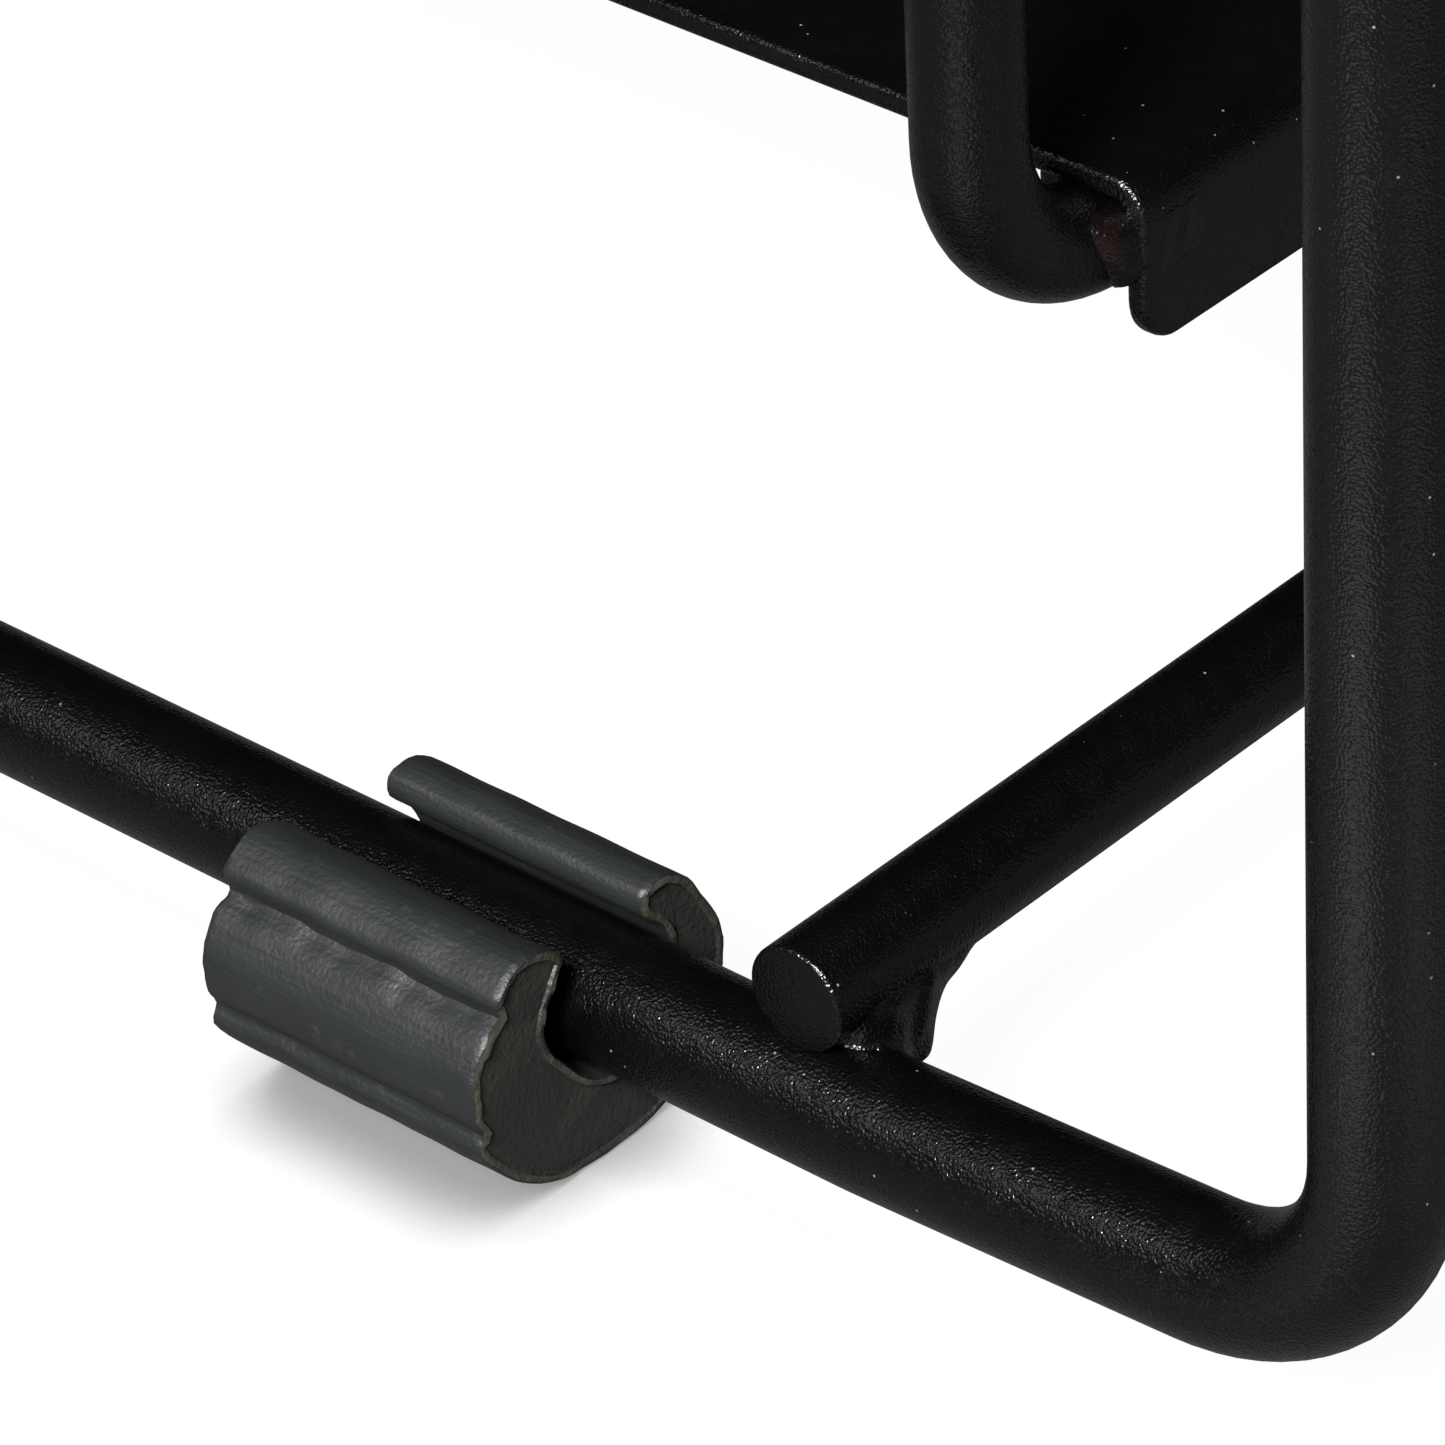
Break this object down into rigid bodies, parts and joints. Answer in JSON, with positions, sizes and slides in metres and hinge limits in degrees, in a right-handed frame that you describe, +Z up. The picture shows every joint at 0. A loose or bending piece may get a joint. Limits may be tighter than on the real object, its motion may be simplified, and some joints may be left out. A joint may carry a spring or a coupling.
{
  "type": "folding luggage rack",
  "caption": "Folding luggage rack of bent black steel rod with a hung sheet-steel shelf, clip-on feet and a strapped deck on folding end panels.",
  "frame": {"origin": "centre of the footprint at floor level, the lowest face of the feet", "axes": "+X along the long side, towards the right end; +Y across, towards the back; +Z up"},
  "size_m": [0.614, 0.41, 0.4828],
  "materials": {
    "coated_steel": "black powder coat, fine orange peel, semi-matte",
    "foot_rubber": "soft grey PVC, extruded, cut to length",
    "webbing": "woven nylon webbing, black",
    "rivets": "black zinc-plated steel rivets",
    "washers": "black nylon"
  },
  "bodies": {
    "base": {"sled_front": "coated_steel", "sled_back": "coated_steel", "rail_front": "coated_steel", "rail_back": "coated_steel", "floor_rod_right": "coated_steel", "floor_rod_left": "coated_steel", "top_rod_right": "coated_steel", "top_rod_left": "coated_steel", "hanger_right": "coated_steel", "hanger_left": "coated_steel", "shelf": "coated_steel", "floor_rod_welds": "coated_steel", "foot_front_right": "foot_rubber", "foot_front_left": "foot_rubber", "foot_back_right": "foot_rubber", "foot_back_left": "foot_rubber", "base_pins": "rivets", "base_washers": "washers"},
    "right_lower": {"right_lower_strut_front": "coated_steel", "right_lower_strut_back": "coated_steel", "right_lower_rod_bottom": "coated_steel", "right_lower_rod_top": "coated_steel", "right_knee_pins": "rivets", "right_knee_washers": "washers"},
    "right_upper": {"right_upper_strut_front": "coated_steel", "right_upper_strut_back": "coated_steel", "right_upper_rod": "coated_steel"},
    "left_lower": {"left_lower_strut_front": "coated_steel", "left_lower_strut_back": "coated_steel", "left_lower_rod_bottom": "coated_steel", "left_lower_rod_top": "coated_steel", "left_knee_pins": "rivets", "left_knee_washers": "washers"},
    "left_upper": {"left_upper_strut_front": "coated_steel", "left_upper_strut_back": "coated_steel", "left_upper_rod": "coated_steel"},
    "deck": {"deck_hoop": "coated_steel", "deck_lugs": "coated_steel", "deck_pins": "rivets", "deck_washers": "washers", "strap_1": "webbing", "strap_2": "webbing", "strap_3": "webbing", "strap_4": "webbing", "strap_5": "webbing"}
  },
  "joints": [
    {"name": "fold", "type": "hinge", "parent": "base", "child": "right_lower", "pos_m": [0.28, 0, 0.156], "axis": [0, -1, 0], "range_deg": [0, 88]},
    {"name": "right_knee", "type": "hinge", "parent": "right_lower", "child": "right_upper", "pos_m": [0.29074, 0, 0.30962], "axis": [0, -1, 0], "range_deg": [-176.1, 0.1]},
    {"name": "right_deck_hinge", "type": "hinge", "parent": "right_upper", "child": "deck", "pos_m": [0.28, 0, 0.46325], "axis": [0, -1, 0], "range_deg": [-0.1, 88.1]},
    {"name": "left_base_hinge", "type": "hinge", "parent": "base", "child": "left_lower", "pos_m": [-0.28, 0, 0.156], "axis": [0, -1, 0], "range_deg": [-88.1, 0.1]},
    {"name": "left_knee", "type": "hinge", "parent": "left_lower", "child": "left_upper", "pos_m": [-0.29074, 0, 0.30962], "axis": [0, -1, 0], "range_deg": [-0.1, 176.1]}
  ],
  "couplings": [
    {"joint": "right_knee", "follows": "fold", "ratio": -2},
    {"joint": "right_deck_hinge", "follows": "fold", "ratio": 1},
    {"joint": "left_base_hinge", "follows": "fold", "ratio": -1},
    {"joint": "left_knee", "follows": "fold", "ratio": 2}
  ]
}
